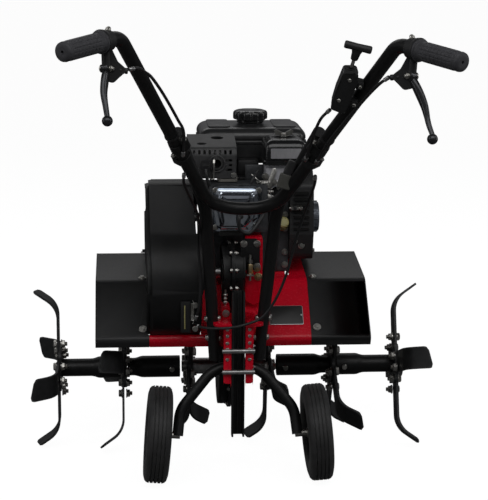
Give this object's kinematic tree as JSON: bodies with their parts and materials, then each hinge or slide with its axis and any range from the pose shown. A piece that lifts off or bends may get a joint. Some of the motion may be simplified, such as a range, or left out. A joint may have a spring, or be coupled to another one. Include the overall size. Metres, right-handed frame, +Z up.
{
  "type": "front-tine petrol tiller",
  "caption": "Walk-behind petrol tiller with side belt guard, bent-blade tine rotor, mudguards, fold-down transport wheels, drag stake and a moto-style handlebar.",
  "frame": {"origin": "middle of the footprint, on the floor", "axes": "+Z up, +Y forward travel, +X the operator's right hand seen from behind at -Y"},
  "size_m": [0.8614, 1.053, 0.9798],
  "materials": {
    "black_coat": "satin powder coat",
    "red_paint": "gloss",
    "steel": "plain",
    "alloy": "as cast",
    "polished_alloy": "polished",
    "black_plastic": "fine grain",
    "gloss_black": "gloss",
    "grip_rubber": "moulded",
    "tyre_rubber": "moulded",
    "belt_rubber": "matt",
    "guard_grey": "heat paint",
    "tine_steel": "satin"
  },
  "bodies": {
    "chassis": {"chain_case_left": "black_coat", "chain_case_right": "black_coat", "drive_chain": "steel", "drive_belt": "belt_rubber", "belt_guard": "black_coat", "engine_base": "red_paint", "hitch_bracket": "red_paint", "fender_centre": "red_paint", "fender_left": "black_coat", "fender_right": "black_coat", "handle_tube_left": "black_coat", "handle_tube_right": "black_coat", "crankcase": "alloy", "cylinder_head": "alloy", "rocker_cover": "polished_alloy", "fan_shroud": "black_plastic", "recoil_cover": "guard_grey", "fuel_tank": "gloss_black", "muffler": "steel", "muffler_guard": "guard_grey", "carburettor": "alloy", "air_filter_cover": "gloss_black", "clutch_cable_lower": "belt_rubber", "reverse_cable_lower": "belt_rubber"},
    "tine_rotor": {"tine_shaft": "steel", "lower_sprocket": "steel", "inner_tube_left": "black_coat", "inner_tube_right": "black_coat", "outer_tube_left": "black_coat", "outer_tube_right": "black_coat", "tines_inner_left": "tine_steel", "tines_inner_right": "tine_steel", "tines_middle_left": "tine_steel", "tines_middle_right": "tine_steel", "tines_outer_left": "tine_steel", "tines_outer_right": "tine_steel"},
    "input": {"input_shaft": "steel", "driven_pulley": "alloy"},
    "crank": {"crankshaft": "steel", "drive_pulley": "alloy"},
    "idler": {"idler_arm": "steel"},
    "handlebar": {"upper_handlebar": "black_coat", "grip_left": "grip_rubber", "grip_right": "grip_rubber", "perch_left": "black_plastic", "perch_right": "black_plastic", "control_box": "black_plastic", "clutch_cable_upper": "belt_rubber", "reverse_cable_upper": "belt_rubber", "throttle_cable": "belt_rubber"},
    "lever_left": {"lever_left": "black_coat"},
    "lever_right": {"lever_right": "black_coat"},
    "t_handle": {"t_handle": "black_plastic"},
    "cap": {"fuel_cap": "black_plastic"},
    "pull_grip": {"recoil_handle": "black_plastic"},
    "wheel_bracket": {"wheel_bracket": "black_coat"},
    "wheel_left": {"wheel_left": "tyre_rubber"},
    "wheel_right": {"wheel_right": "tyre_rubber"},
    "drag_stake": {"drag_stake": "black_coat"}
  },
  "joints": [
    {"name": "tine_rotor_spin", "type": "hinge", "parent": "chassis", "child": "tine_rotor", "pos_m": [0, 0.34511, 0.18137], "axis": [1, 0, 0], "continuous": true},
    {"name": "input_spin", "type": "hinge", "parent": "chassis", "child": "input", "pos_m": [0, 0.24011, 0.41937], "axis": [1, 0, 0], "continuous": true},
    {"name": "crank_spin", "type": "hinge", "parent": "chassis", "child": "crank", "pos_m": [0, 0.37511, 0.51337], "axis": [1, 0, 0], "continuous": true},
    {"name": "idler_swing", "type": "hinge", "parent": "chassis", "child": "idler", "pos_m": [-0.085, 0.35011, 0.57537], "axis": [1, 0, 0], "range_deg": [0, 2.2], "stiffness_Nm_per_rad": 6, "springref_deg": -20.05},
    {"name": "handlebar_tilt", "type": "hinge", "parent": "chassis", "child": "handlebar", "pos_m": [0.005, -0.13616, 0.73577], "axis": [1, 0, 0], "range_deg": [-6, 0]},
    {"name": "lever_left_pull", "type": "hinge", "parent": "handlebar", "child": "lever_left", "pos_m": [-0.25473, -0.4041, 0.91531], "axis": [-0.8165, 0.5748, -0.0537], "range_deg": [0, 38], "stiffness_Nm_per_rad": 1.2, "springref_deg": -17.19},
    {"name": "lever_right_pull", "type": "hinge", "parent": "handlebar", "child": "lever_right", "pos_m": [0.25696, -0.4175, 0.90369], "axis": [-0.8422, -0.5313, 0.0913], "range_deg": [0, 38], "stiffness_Nm_per_rad": 1.2, "springref_deg": -17.19},
    {"name": "t_handle_pull", "type": "slide", "parent": "handlebar", "child": "t_handle", "axis": [0.1885, -0.4894, 0.8515], "range_m": [0, 0.025], "stiffness_N_per_m": 250, "springref_m": -0.01},
    {"name": "fuel_cap_turn", "type": "hinge", "parent": "chassis", "child": "cap", "pos_m": [0.052, 0.43511, 0.71337], "axis": [0, 0, 1], "range_deg": [0, 90]},
    {"name": "recoil_pull", "type": "slide", "parent": "chassis", "child": "pull_grip", "axis": [0, 1, 0], "range_m": [0, 0.06], "stiffness_N_per_m": 200, "springref_m": -0.05},
    {"name": "wheel_bracket_fold", "type": "hinge", "parent": "chassis", "child": "wheel_bracket", "pos_m": [0.005, 0.14911, 0.23737], "axis": [1, 0, 0], "range_deg": [-85, 0]},
    {"name": "wheel_left_spin", "type": "hinge", "parent": "wheel_bracket", "child": "wheel_left", "pos_m": [-0.162, 0.10511, 0.10337], "axis": [0.9969, 0, -0.0785], "continuous": true},
    {"name": "wheel_right_spin", "type": "hinge", "parent": "wheel_bracket", "child": "wheel_right", "pos_m": [0.172, 0.10511, 0.10337], "axis": [0.9969, 0, 0.0785], "continuous": true},
    {"name": "stake_height", "type": "slide", "parent": "chassis", "child": "drag_stake", "axis": [0, 0, 1], "range_m": [-0.064, 0.096]}
  ],
  "couplings": [
    {"joint": "input_spin", "follows": "tine_rotor_spin", "ratio": 3}
  ]
}
